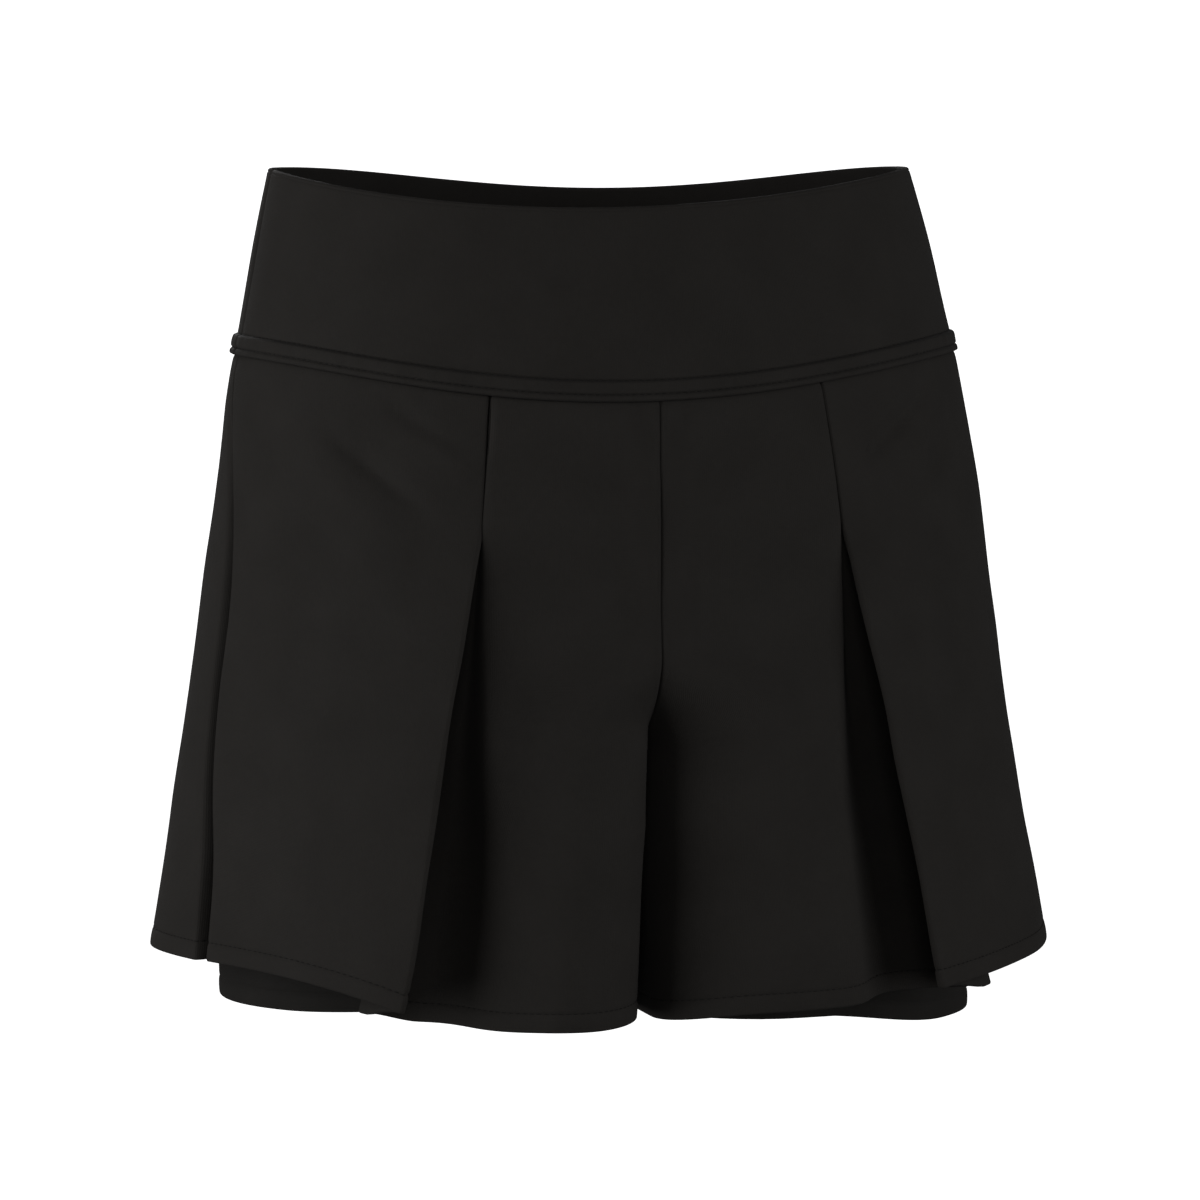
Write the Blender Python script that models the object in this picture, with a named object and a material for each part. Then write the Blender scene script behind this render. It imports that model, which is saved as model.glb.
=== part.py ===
"""Pleated two-layer athletic shorts, filled out as they are worn.

+X is the wearer's left, the front faces -Y, +Z is up, and the origin is the middle of the waist
opening, level with its highest points at the sides. Every cut piece is one closed wall of cloth.
A wall starts as a flat slab of columns and rows. Its columns run from a centre seam round to the
side and its rows from the waist seam down to the hem, and each point then moves to its place on a
section through the worn garment. Sizes are in millimetres and angles in degrees until the points
are written. A drop is a depth below the origin.
"""

import math
from collections import namedtuple

import bmesh
import bpy
from mathutils import Vector

MM = 0.001
RIGHT, LEFT = -1, 1  # the wearer's sides, as signs of X
FRONT, BACK = -1, 1  # the faces, as signs of Y
DENSE = 24  # steps of a run before its columns are spaced along it

# Cloth
WALL = 1.4
SEAM_GAP = 0.3
TOP_DROP = 82.0  # where the panels' sections are taken to place their tops
FOLD_RADIUS = 1.0  # at the middle of the wall, in the pleat's two folds
BLACK_KNIT = (0.013, 0.013, 0.014, 1.0)
KNIT_ROUGHNESS = 0.75

# Waist: its edge and its seam dip in the middle, as if the waist were turned a little on the wearer
WaistLine = namedtuple("WaistLine", "drop dip turn sharpness")
EDGE = {FRONT: WaistLine(0.0, 14.8, -11.0, 2.0), BACK: WaistLine(0.0, 10.0, -12.0, 3.6)}
SEAM = {FRONT: WaistLine(76.4, 15.5, -6.0, 3.0), BACK: WaistLine(76.4, 10.0, -12.0, 3.4)}

# Waistband, with the raised seam along its lower edge
BAND_WALL = 2.4
RIDGE_HEIGHT = 8.4
RIDGE_PROUD = 1.7
MM_PER_SIDE_DEGREE = 1.9  # along the band where its front and back meet
LAYERS_THICK = 3.8  # outer shorts, inner shorts and the gap between them, at the seam
PLEAT_THICK = 3.8  # how much more the pleat's two hidden layers take
PLEAT_ZONE = (22.0, 42.0)
ZONE_FADE = 8.0

# Sections: half ellipses to the front and the back. The centre seams hang at `centre`, and each
# side has its own half width.
Section = namedtuple("Section", "drop right left front back")
OUTER = (
    Section(0, 135.2, 134.9, 95.0, 94.0),
    Section(35, 142.4, 144.9, 101.0, 103.0),
    Section(76, 150.1, 154.2, 108.0, 113.0),
    Section(100, 154.0, 159.3, 110.5, 118.0),
    Section(140, 157.4, 166.8, 114.5, 124.0),
    Section(181, 162.6, 172.9, 119.0, 128.0),
    Section(225, 168.4, 178.6, 124.5, 130.0),
    Section(267, 172.8, 187.8, 130.5, 131.0),
    Section(307, 178.9, 195.9, 135.0, 132.0),
    Section(345, 185.0, 204.0, 138.5, 133.0),
)
INNER = (
    Section(80, 147.3, 151.0, 104.0, 108.0),
    Section(100, 147.8, 153.0, 104.0, 111.0),
    Section(140, 148.5, 158.0, 105.5, 116.0),
    Section(181, 150.5, 162.0, 109.0, 118.5),
    Section(225, 153.0, 166.0, 107.0, 115.0),
    Section(267, 154.0, 168.0, 100.0, 107.0),
    Section(307, 153.5, 168.5, 93.0, 99.0),
    Section(360, 152.5, 168.4, 88.0, 92.0),
)
Lean = namedtuple("Lean", "drop centre")
LEAN = (
    Lean(0, -1.8),
    Lean(76, -1.2),
    Lean(100, -1.4),
    Lean(140, -2.3),
    Lean(181, -3.3),
    Lean(215, -3.8),
    Lean(263, -5.8),
    Lean(340, -6.5),
)
INNER_EASE = 38.0  # drop over which the inner shorts leave the outer ones below the waist seam

# Where each layer's centre seams run back between the legs to meet at the crotch
Fork = namedtuple("Fork", "notch crotch corner_top corner_hem leg_gap gap_length spread")
OUTER_FORK = {
    (RIGHT, FRONT): Fork(190.0, 262.0, 28.0, 34.0, 4.5, 40.0, 0.0),
    (LEFT, FRONT): Fork(190.0, 262.0, 48.0, 36.0, 3.0, 40.0, 0.0),
    (RIGHT, BACK): Fork(205.0, 262.0, 26.0, 34.0, 4.5, 40.0, 0.0),
    (LEFT, BACK): Fork(205.0, 262.0, 28.0, 34.0, 4.5, 40.0, 0.0),
}
INNER_FORK = {
    FRONT: Fork(196.0, 254.0, 30.0, 58.0, 10.0, 25.0, 3.5),
    BACK: Fork(208.0, 254.0, 26.0, 60.0, 10.0, 25.0, 3.5),
}
SPREAD_LENGTH = 6.0

# The front pleats: stitched shut down to the second row, then open to the hem. A fold edge stands
# `stand` off the section, at an angle from the centre front; the cloth beside it turns in over
# `slide` and sinks, and the hidden inner fold lies `tuck` beyond the edge and `lay` under it.
Pleat = namedtuple("Pleat", "drop angle stand slide sink tuck lay")
PLEAT = {
    RIGHT: (
        Pleat(80, 26.4, 0.0, 7.5, 4.0, 18.0, 3.0),
        Pleat(139, 26.8, 0.0, 7.5, 4.0, 18.0, 3.0),
        Pleat(160, 27.3, 5.5, 8.2, 5.0, 18.5, 3.4),
        Pleat(186, 28.0, 11.0, 9.5, 7.0, 19.4, 5.0),
        Pleat(226, 29.5, 15.0, 17.0, 12.0, 20.7, 8.0),
        Pleat(267, 30.6, 16.0, 34.0, 17.0, 22.0, 10.0),
        Pleat(307, 31.7, 16.0, 45.0, 20.0, 23.4, 12.0),
        Pleat(345, 33.4, 15.4, 50.0, 21.0, 24.3, 13.0),
    ),
    LEFT: (
        Pleat(80, 26.9, 0.0, 7.5, 4.0, 22.0, 3.0),
        Pleat(139, 28.6, 0.0, 7.5, 4.0, 22.0, 3.0),
        Pleat(160, 28.9, 5.5, 8.0, 5.0, 23.5, 3.2),
        Pleat(186, 29.4, 11.0, 9.0, 7.0, 27.0, 4.0),
        Pleat(226, 30.9, 15.0, 19.0, 9.5, 34.0, 5.0),
        Pleat(267, 32.3, 16.0, 29.0, 12.0, 41.0, 5.5),
        Pleat(307, 33.4, 16.0, 36.0, 13.0, 48.0, 6.0),
        Pleat(345, 34.4, 15.4, 40.0, 13.0, 53.0, 6.0),
    ),
}
WORD = {RIGHT: "right", LEFT: "left"}
SIDE_SLOPE = 0.55  # how steeply the side panel leaves the fold edge, in degrees for each mm of stand

# The side seams lie in a soft valley behind a rolled ridge of the front panel
SideFold = namedtuple("SideFold", "drop ridge valley")
SIDE_FOLD = {
    RIGHT: (
        SideFold(84, 88.0, 0.0),
        SideFold(100, 85.4, 0.6),
        SideFold(143, 79.0, 6.0),
        SideFold(172, 76.3, 8.0),
        SideFold(226, 74.4, 9.5),
        SideFold(283, 70.4, 9.5),
        SideFold(325, 68.3, 5.0),
    ),
    LEFT: (
        SideFold(84, 90.0, 0.0),
        SideFold(100, 90.2, 0.5),
        SideFold(143, 90.5, 3.5),
        SideFold(226, 92.0, 8.0),
        SideFold(283, 93.0, 8.0),
        SideFold(335, 94.0, 3.0),
    ),
}
RIDGE_WIDTH = 4.0
VALLEY_WIDTH = 7.0

# Hems, as drops
Hem = namedtuple("Hem", "inseam centre sunk tuck fold side back")
OUTER_HEM = {
    RIGHT: Hem(339.3, 340.2, 339.8, 336.0, 331.0, 319.4, 329.5),
    LEFT: Hem(340.4, 335.9, 334.0, 336.3, 329.7, 324.6, 330.5),
}
InnerHem = namedtuple("InnerHem", "front side back")
HEM_CURVE = 2.6  # how soon the side panel's hem has risen, going from the pleat to the side
INNER_HEM = {RIGHT: InnerHem(338.9, 341.8, 343.2), LEFT: InnerHem(346.8, 355.7, 350.2)}

# Columns in each stretch of a piece, and the rows, as drops at the centre front
FRONT_COLUMNS = {
    "crotch": 3, "corner": 5, "centre": 5, "sink": 5, "under": 3,
    "tuck": 4, "return": 2, "fold": 4, "side": 8, "ridge": 4,
}
BACK_COLUMNS = {"crotch": 3, "corner": 4, "centre": 11, "valley": 5}
INNER_COLUMNS = {"crotch": 3, "corner": 4, "round": 16}
BAND_COLUMNS = 30
OUTER_ROWS = (92, 108, 124, 139, 150, 165, 186, 203, 218, 232, 244, 253, 262, 284, 306, 326, 339)
INNER_ROWS = (92, 108, 124, 142, 160, 181, 203, 217, 230, 242, 254, 275, 300, 325, 343)


def read(table, column, drop):
    """A column's value at this drop, on a smooth curve through the rows that never overshoots."""
    drops = [row.drop for row in table]
    values = [getattr(row, column) for row in table]
    last = len(table) - 1
    drop = min(max(drop, drops[0]), drops[last])
    i = max(k for k in range(last) if drops[k] <= drop)

    def secant(k):
        return (values[k + 1] - values[k]) / (drops[k + 1] - drops[k])

    def slope(k):
        if k in (0, last):
            return secant(min(k, last - 1))
        before, after = secant(k - 1), secant(k)
        return 2 * before * after / (before + after) if before * after > 0 else 0.0

    span = drops[i + 1] - drops[i]
    t = (drop - drops[i]) / span
    rise = 3 * t**2 - 2 * t**3
    bend = span * (slope(i) * (t**3 - 2 * t**2 + t) + slope(i + 1) * (t**3 - t**2))
    return values[i] * (1 - rise) + values[i + 1] * rise + bend


def ease(t):
    """0 up to 0, 1 from 1 on, and smooth between."""
    t = min(max(t, 0.0), 1.0)
    return t * t * (3 - 2 * t)


def mix(start, end, share):
    return start + (end - start) * share


def curve(start, start_handle, end_handle, end, steps=DENSE):
    """Points along a cubic curve, with both ends."""
    points = []
    for k in range(steps + 1):
        t = k / steps
        weights = ((1 - t) ** 3, 3 * t * (1 - t) ** 2, 3 * t * t * (1 - t), t**3)
        corners = (start, start_handle, end_handle, end)
        points.append(tuple(sum(w * p[axis] for w, p in zip(weights, corners)) for axis in (0, 1)))
    return points


def spaced(points, stops):
    """The points that lie at these lengths along a dense run."""
    lengths = [0.0]
    for a, b in zip(points, points[1:]):
        lengths.append(lengths[-1] + math.dist(a, b))
    found = []
    k = 0
    for stop in stops:
        stop = min(stop, lengths[-1])
        while k < len(points) - 2 and lengths[k + 1] < stop:
            k += 1
        step = lengths[k + 1] - lengths[k]
        share = (stop - lengths[k]) / step if step > 0 else 0.0
        found.append(tuple(mix(points[k][axis], points[k + 1][axis], share) for axis in (0, 1)))
    return found


def length_of(points):
    return sum(math.dist(a, b) for a, b in zip(points, points[1:]))


def even(points, columns):
    """The run in evenly spaced columns, without its last point."""
    total = length_of(points)
    return spaced(points, [total * k / columns for k in range(columns)])


# The waist


def waist_drop(lines, facing, angle):
    """How far down a waist line lies, at this angle round from the middle of a face."""
    line = lines[facing]
    cosine = math.cos(math.radians(angle + facing * line.turn))
    return line.drop + line.dip * max(cosine, 0.0) ** line.sharpness


def pleat_layers(facing, angle):
    """1 where the pleat lies behind the waist seam, 0 elsewhere."""
    if facing == BACK:
        return 0.0
    near, far = PLEAT_ZONE
    return ease((abs(angle) - near) / ZONE_FADE + 1) * ease((far - abs(angle)) / ZONE_FADE + 1)


# Sections. `across` is a distance from the centre plane and `forward` one towards a face.


def section_face(table, facing, drop, side):
    """Gives the section's point at an angle from the face's middle, a distance outside it."""
    half_width = read(table, WORD[side], drop)
    own = read(table, "front" if facing == FRONT else "back", drop)
    other = read(table, "back" if facing == FRONT else "front", drop)

    def point(angle, out):
        angle = math.radians(angle)
        depth = own if math.cos(angle) >= 0 else other
        across, forward = half_width * math.sin(angle), depth * math.cos(angle)
        normal = Vector((across / half_width**2, forward / depth**2)).normalized()
        return across + out * normal.x, forward + out * normal.y

    def mm_per_degree(angle):
        angle = math.radians(angle)
        depth = own if math.cos(angle) >= 0 else other
        return math.radians(math.hypot(half_width * math.cos(angle), depth * math.sin(angle)))

    return point, mm_per_degree


def angle_at(point, place):
    """The angle at which a section passes nearest a place."""
    low, high = -5.0, 185.0
    for _ in range(24):
        middle = (low + high) / 2
        here = Vector(point(middle, 0))
        ahead = Vector(point(middle + 0.1, 0)) - here
        if ahead.dot(Vector(place) - here) > 0:
            low = middle
        else:
            high = middle
    return low


def fork_run(point, fork, drop, end_angle, mid=-WALL / 2):
    """The dense run from a centre seam, forward between the legs and round to an angle.

    Also the direction in which it starts, and the lengths at which its crotch and corner end.
    """
    full = point(0, mid)[1] - SEAM_GAP / 2
    reach = full * min(max((drop - fork.notch) / (fork.crotch - fork.notch), 0.0), 1.0) ** 2
    below = drop - fork.crotch
    radius = mix(fork.corner_top, fork.corner_hem, ease(below / (350 - fork.crotch)))
    gap = SEAM_GAP / 2 + fork.leg_gap * (1 - math.exp(-max(below, 0.0) / fork.gap_length))
    turn = math.acos(max(1 - reach / radius, 0.0))
    straight = max(reach - radius, 0.0)
    seam = gap + WALL / 2 * math.sin(turn)
    run = []
    for k in range(DENSE):
        walked = straight * k / DENSE
        run.append((seam + fork.spread * (1 - math.exp(-walked / SPREAD_LENGTH)), reach - walked))
    start = seam + fork.spread * (1 - math.exp(-straight / SPREAD_LENGTH))
    smooth = start + radius * math.sin(turn)
    for k in range(DENSE):
        angle = turn * (1 - k / DENSE)
        run.append((smooth - radius * math.sin(angle), radius * (1 - math.cos(angle))))
    half_width = point(90, 0)[0]
    points = []
    for across, depth in run:
        x, forward = point(math.degrees(math.asin(across / half_width)), mid)
        points.append((x, max(forward - depth, SEAM_GAP / 2)))
    first = math.degrees(math.asin(smooth / half_width))
    points += [point(mix(first, end_angle, k / DENSE), mid) for k in range(DENSE + 1)]
    crotch_end = straight + 4.0
    corner_end = min(crotch_end + radius * turn + 12.0, mix(crotch_end, length_of(points), 0.6))
    return points, (math.cos(turn), math.sin(turn)), (crotch_end, corner_end)


def fork_columns(points, breaks, columns):
    """The run in columns: those of its crotch, its corner, and the rest as far as its last point."""
    crotch_end, corner_end = breaks
    total = length_of(points)
    names = list(columns)
    stops = [crotch_end * k / columns["crotch"] for k in range(columns["crotch"])]
    stops += [mix(crotch_end, corner_end, k / columns["corner"]) for k in range(columns["corner"])]
    rest = columns[names[2]]
    stops += [mix(corner_end, total, k / rest) for k in range(rest)]
    return spaced(points, stops)


def arc(centre, first, last, steps):
    """Places round a fold, from one angle to another, in (along, out) millimetres."""
    found = []
    for k in range(steps):
        angle = math.radians(mix(first, last, k / steps))
        found.append((centre[0] + FOLD_RADIUS * math.cos(angle), centre[1] + FOLD_RADIUS * math.sin(angle)))
    return found


def pleat_columns(point, mm_per_degree, drop, side):
    """The columns from the start of the pleat to the side's ridge, and the angle where it starts."""
    angle, stand, slide, sink, tuck, lay = (
        read(PLEAT[side], column, drop) for column in Pleat._fields[1:]
    )
    scale = mm_per_degree(angle)
    radius = FOLD_RADIUS
    inner, outer = (tuck, -lay), (radius, stand - radius)

    def place(along, out):
        return point(angle + along / scale, out - WALL / 2)

    columns = []
    sunk = (-0.5, -sink)
    half = (slide - 0.5) / 2
    sinking = curve((-slide, 0.0), (-slide + half, 0.0), (sunk[0] - half, -sink), sunk)
    columns += even(sinking, FRONT_COLUMNS["sink"])

    rise = 8.0 * ease((drop - 139) / 120)
    entry = math.radians(rise - 90)
    under_end = (inner[0] + radius * math.cos(entry), inner[1] + radius * math.sin(entry))
    third = (under_end[0] - sunk[0]) / 3
    climb = third * math.tan(math.radians(rise))
    under = curve(sunk, (sunk[0] + third, sunk[1]), (under_end[0] - third, under_end[1] - climb), under_end)
    columns += even(under, FRONT_COLUMNS["under"])

    apart = math.dist(inner, outer)
    toward = math.degrees(math.atan2(outer[1] - inner[1], outer[0] - inner[0]))
    leave = toward - math.degrees(math.acos(2 * radius / apart))
    columns += arc(inner, rise - 90, leave, FRONT_COLUMNS["tuck"])

    off = (radius * math.cos(math.radians(leave)), radius * math.sin(math.radians(leave)))
    back = [(inner[0] + off[0], inner[1] + off[1]), (outer[0] - off[0], outer[1] - off[1])]
    columns += even(back, FRONT_COLUMNS["return"])

    slope = -SIDE_SLOPE * stand
    columns += arc(outer, leave - 180, slope - 270, FRONT_COLUMNS["fold"])
    columns = [place(*column) for column in columns]

    top = math.radians(slope + 90)
    start = (outer[0] + radius * math.cos(top), outer[1] + radius * math.sin(top))
    start_angle = angle + start[0] / scale
    ridge = read(SIDE_FOLD[side], "ridge", drop)
    handle = (ridge - start_angle) / 3
    fall = handle * scale * math.tan(math.radians(slope))
    panel = curve(
        (start_angle, start[1]),
        (start_angle + handle, start[1] + fall),
        (ridge - handle, 0.0),
        (ridge, 0.0),
    )
    columns += even([point(at, out - WALL / 2) for at, out in panel], FRONT_COLUMNS["side"])
    return columns, angle - slide / scale


def side_section(side, drop):
    """The whole side of the outer section, with angles counted from the centre front."""
    return section_face(OUTER, FRONT, drop, side)


def seam_angle(side, drop):
    ridge = read(SIDE_FOLD[side], "ridge", drop)
    return ridge + RIDGE_WIDTH / side_section(side, drop)[1](ridge)


def valley_end(side, drop):
    """Where the back panel is smooth again."""
    seam = seam_angle(side, drop)
    return seam + (SEAM_GAP / 2 + VALLEY_WIDTH) / side_section(side, drop)[1](seam)


def valley_run(side, facing, drop):
    """The dense run between a panel's smooth part and the side seam in the bottom of its valley."""
    point, mm_per_degree = side_section(side, drop)
    seam, valley = seam_angle(side, drop), read(SIDE_FOLD[side], "valley", drop)
    half_gap = SEAM_GAP / 2 / mm_per_degree(seam)
    if facing == FRONT:
        start, end = read(SIDE_FOLD[side], "ridge", drop), seam - half_gap
    else:
        start, end = valley_end(side, drop), seam + half_gap
    half = (end - start) / 2
    run = curve((start, 0.0), (start + half, 0.0), (end - half, -valley), (end, -valley))
    found = [point(angle, out - WALL / 2) for angle, out in run]
    return [(across, -facing * forward) for across, forward in found]


def seam_direction(side, facing, drop):
    """The way a panel runs where it meets the side seam."""
    point, _ = side_section(side, drop)
    seam = seam_angle(side, drop)
    along = Vector(point(seam + 0.5, 0)) - Vector(point(seam - 0.5, 0))
    return along if facing == FRONT else Vector((-along.x, along.y))


def front_path(side, drop):
    """One outer front's section: its columns' points at mid wall, and its two end directions."""
    point, mm_per_degree = section_face(OUTER, FRONT, drop, side)
    pleat, start = pleat_columns(point, mm_per_degree, drop, side)
    run, first, breaks = fork_run(point, OUTER_FORK[side, FRONT], drop, start)
    valley = valley_run(side, FRONT, drop)
    columns = fork_columns(run, breaks, FRONT_COLUMNS) + pleat
    columns += even(valley, FRONT_COLUMNS["ridge"]) + valley[-1:]
    return columns, first, seam_direction(side, FRONT, drop)


def back_path(side, drop):
    """One outer back's section."""
    point, _ = section_face(OUTER, BACK, drop, side)
    fork = OUTER_FORK[side, BACK]
    run, first, breaks = fork_run(point, fork, drop, 180 - valley_end(side, drop))
    valley = valley_run(side, BACK, drop)
    columns = fork_columns(run, breaks, BACK_COLUMNS)
    columns += even(valley, BACK_COLUMNS["valley"]) + valley[-1:]
    return columns, first, seam_direction(side, BACK, drop)


def inner_path(side, drop):
    """One inner leg's section, from its front seam round the side to its back seam."""
    halves = []
    for facing in (FRONT, BACK):
        body, _ = section_face(INNER, facing, drop, side)
        shell, _ = section_face(OUTER, facing, drop, side)

        def point(angle, out, body=body, shell=shell, facing=facing):
            below = drop - waist_drop(SEAM, facing, side * angle)
            thick = LAYERS_THICK - WALL + PLEAT_THICK * pleat_layers(facing, angle)
            close, loose = shell(angle, out - thick), body(angle, out)
            share = ease(below / INNER_EASE)
            return mix(close[0], loose[0], share), mix(close[1], loose[1], share)

        run, first, breaks = fork_run(point, INNER_FORK[facing], drop, 90)
        halves.append((fork_columns(run, breaks, INNER_COLUMNS) + run[-1:], first))
    (front, start), (back, other) = halves
    return front + [(x, -y) for x, y in reversed(back[:-1])], start, (-other[0], other[1])


# Making the pieces


def cloth(name, columns, rows, place):
    """A closed wall: a flat slab of columns and rows whose points are put in their places."""
    mesh = bmesh.new()
    bmesh.ops.create_grid(mesh, x_segments=columns, y_segments=rows, size=0.5)
    grown = bmesh.ops.extrude_face_region(mesh, geom=mesh.faces[:], use_keep_orig=True)
    for item in grown["geom"]:
        if isinstance(item, bmesh.types.BMVert):
            item.co.z = 1
    bmesh.ops.recalc_face_normals(mesh, faces=mesh.faces[:])
    for vertex in mesh.verts:
        column, row = round((vertex.co.x + 0.5) * columns), round((vertex.co.y + 0.5) * rows)
        vertex.co = Vector(place(column, row, vertex.co.z > 0.5)) * MM
    if mesh.calc_volume(signed=True) < 0:
        bmesh.ops.reverse_faces(mesh, faces=mesh.faces[:])
    data = bpy.data.meshes.new(name)
    mesh.to_mesh(data)
    mesh.free()
    data.shade_smooth()
    data.set_sharp_from_angle(angle=math.radians(50))
    piece = bpy.data.objects.new(name, data)
    bpy.context.scene.collection.objects.link(piece)
    data.materials.append(knit(name))
    return piece


def knit(name):
    material = bpy.data.materials.new(name + "_knit")
    material.use_nodes = True
    shader = material.node_tree.nodes["Principled BSDF"]
    shader.inputs["Base Color"].default_value = BLACK_KNIT
    shader.inputs["Roughness"].default_value = KNIT_ROUGHNESS
    shader.inputs["Metallic"].default_value = 0.0
    return material


def wall_sides(path, first, last, column):
    """The outer and inner point of one column, half a wall either side of the path."""
    if column == 0:
        along = Vector(first)
    elif column == len(path) - 1:
        along = Vector(last)
    else:
        along = (Vector(path[column + 1]) - Vector(path[column - 1])).normalized()
    outward = Vector((-along.y, along.x)) * (WALL / 2)
    middle = Vector(path[column])
    return middle + outward, middle - outward


def make_panel(name, side, facing, path_at, levels, hem_drops):
    """A piece from the waist seam to its hem, whose section at any drop is path_at(side, drop)."""
    shape, _ = section_face(OUTER, facing, TOP_DROP, side)
    tops = []
    for place in path_at(side, TOP_DROP)[0]:
        angle = angle_at(shape, place)
        if angle <= 90:
            tops.append(waist_drop(SEAM, facing, side * angle) + SEAM_GAP)
        else:
            tops.append(waist_drop(SEAM, -facing, side * (180 - angle)) + SEAM_GAP)
    shares = [(level - levels[0]) / (levels[-1] - levels[0]) for level in levels]
    grid = {}
    for column, (top, hem) in enumerate(zip(tops, hem_drops)):
        for row, share in enumerate(shares):
            drop = mix(top, hem, share)
            path, first, last = path_at(side, drop)
            lean = read(LEAN, "centre", drop)
            for inside, (across, forward) in enumerate(wall_sides(path, first, last, column)):
                grid[column, row, bool(inside)] = (lean + side * across, facing * forward, -drop)
    return cloth(name, len(tops) - 1, len(levels) - 1, lambda *key: grid[key])


def stretches(columns, values):
    """A value for each column: each stretch of columns eases from its first value to its last."""
    found = []
    for name, count in columns.items():
        start, end = values[name]
        found += [mix(start, end, k / count) for k in range(count)]
    return found + [end]


def front_hem(side):
    hem = OUTER_HEM[side]
    drops = stretches(
        FRONT_COLUMNS,
        {
            "crotch": (hem.inseam, hem.inseam),
            "corner": (hem.inseam, hem.centre),
            "centre": (hem.centre, hem.centre),
            "sink": (hem.centre, hem.sunk),
            "under": (hem.sunk, hem.tuck),
            "tuck": (hem.tuck, hem.tuck),
            "return": (hem.tuck, hem.fold),
            "fold": (hem.fold, hem.fold),
            "side": (0.0, 1.0),
            "ridge": (hem.side, hem.side),
        },
    )
    side_start = len(drops) - 1 - FRONT_COLUMNS["side"] - FRONT_COLUMNS["ridge"]
    for column in range(side_start, side_start + FRONT_COLUMNS["side"]):
        drops[column] = mix(hem.side, hem.fold, (1 - drops[column]) ** HEM_CURVE)
    return drops


def back_hem(side):
    hem = OUTER_HEM[side]
    return stretches(
        BACK_COLUMNS,
        {
            "crotch": (hem.inseam, hem.inseam),
            "corner": (hem.inseam, hem.back),
            "centre": (hem.back, hem.side + 0.5),
            "valley": (hem.side + 0.5, hem.side),
        },
    )


def inner_hem(side):
    hem = INNER_HEM[side]
    half = sum(INNER_COLUMNS.values())
    drops = []
    for column in range(2 * half + 1):
        share = ease((abs(column - half) / half - 0.3) / 0.5)
        drops.append(mix(hem.side, hem.front if column < half else hem.back, share))
    return drops


def make_band(name, facing):
    """Half of the waistband, from its edge down over the raised seam along its lower edge."""
    profile = (
        # share of the plain height or mm above the seam, out, in
        (0.0, None, -0.7, -BAND_WALL + 0.7),
        (0.02, None, 0.0, -BAND_WALL),
        (0.34, None, 0.0, -BAND_WALL),
        (0.67, None, 0.0, -BAND_WALL),
        (None, RIDGE_HEIGHT + 0.6, 0.0, -BAND_WALL),
        (None, RIDGE_HEIGHT - 0.8, RIDGE_PROUD, -BAND_WALL),
        (None, RIDGE_HEIGHT / 2, RIDGE_PROUD + 0.3, None),
        (None, 0.9, RIDGE_PROUD, None),
        (None, 0.0, RIDGE_PROUD - 0.8, None),
    )
    grid = {}
    for column in range(BAND_COLUMNS + 1):
        angle = mix(-90.0, 90.0, column / BAND_COLUMNS)
        trim = math.copysign(SEAM_GAP / 2 / MM_PER_SIDE_DEGREE, angle) if abs(angle) == 90 else 0.0
        top, seam = waist_drop(EDGE, facing, angle), waist_drop(SEAM, facing, angle)
        thick = LAYERS_THICK + PLEAT_THICK * pleat_layers(facing, angle)
        for row, (share, above, out, inward) in enumerate(profile):
            drop = mix(top, seam, share) if above is None else seam - above
            point, _ = section_face(OUTER, facing, drop, LEFT if angle > 0 else RIGHT)
            lean = read(LEAN, "centre", drop)
            for inside, offset in enumerate((out, -thick if inward is None else inward)):
                across, forward = point(angle - trim, offset)
                grid[column, row, bool(inside)] = (lean + across, facing * forward, -drop)
    return cloth(name, BAND_COLUMNS, len(profile) - 1, lambda *key: grid[key])


def main():
    for item in list(bpy.data.objects):
        bpy.data.objects.remove(item)
    make_band("waistband_front", FRONT)
    make_band("waistband_back", BACK)
    for side, word in ((RIGHT, "right"), (LEFT, "left")):
        make_panel(f"front_panel_{word}", side, FRONT, front_path, OUTER_ROWS, front_hem(side))
        make_panel(f"back_panel_{word}", side, BACK, back_path, OUTER_ROWS, back_hem(side))
        make_panel(f"inner_leg_{word}", side, FRONT, inner_path, INNER_ROWS, inner_hem(side))


main()
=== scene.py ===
"""The finished look of a pair of pleated two-layer athletic shorts, filled out as they are worn.

Each cut piece of cloth is a fine thin shell in the place of its plain solid, with its turned hem,
seam grooves, stitching and creases. +X is the wearer's left, the front faces -Y, and the origin is
the middle of the waist opening. Cloth sizes are in millimetres and angles in degrees until the
points are written in metres. A drop is a depth below the origin.
"""

import math
from collections import namedtuple

import bmesh
import bpy
import numpy as np
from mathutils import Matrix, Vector, noise


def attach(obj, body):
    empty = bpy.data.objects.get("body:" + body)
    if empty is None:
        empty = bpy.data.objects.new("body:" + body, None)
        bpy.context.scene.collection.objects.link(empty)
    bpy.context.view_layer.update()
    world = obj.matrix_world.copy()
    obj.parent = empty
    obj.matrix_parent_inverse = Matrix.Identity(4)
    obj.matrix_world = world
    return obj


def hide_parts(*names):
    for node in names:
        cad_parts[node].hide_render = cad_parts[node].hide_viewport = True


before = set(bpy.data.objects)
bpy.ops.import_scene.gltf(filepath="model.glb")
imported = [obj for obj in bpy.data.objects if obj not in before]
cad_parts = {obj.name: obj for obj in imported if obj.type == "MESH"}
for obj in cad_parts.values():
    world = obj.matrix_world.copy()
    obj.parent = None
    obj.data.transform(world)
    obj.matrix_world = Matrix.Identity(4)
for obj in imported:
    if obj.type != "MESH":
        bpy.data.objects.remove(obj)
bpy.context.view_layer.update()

# ------------------------------------------------------------
# The black knit of the outer shorts: a smooth matt stretch jersey, with wales that run down the
# leg and courses round it, a faint mottle, and a soft sheen where it turns away.
# ------------------------------------------------------------
MM = 0.001
JERSEY_BLACK = (0.0082, 0.0075, 0.0068, 1.0)
JERSEY_FADED = (0.0100, 0.0092, 0.0084, 1.0)
WALE = 0.0007
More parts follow.
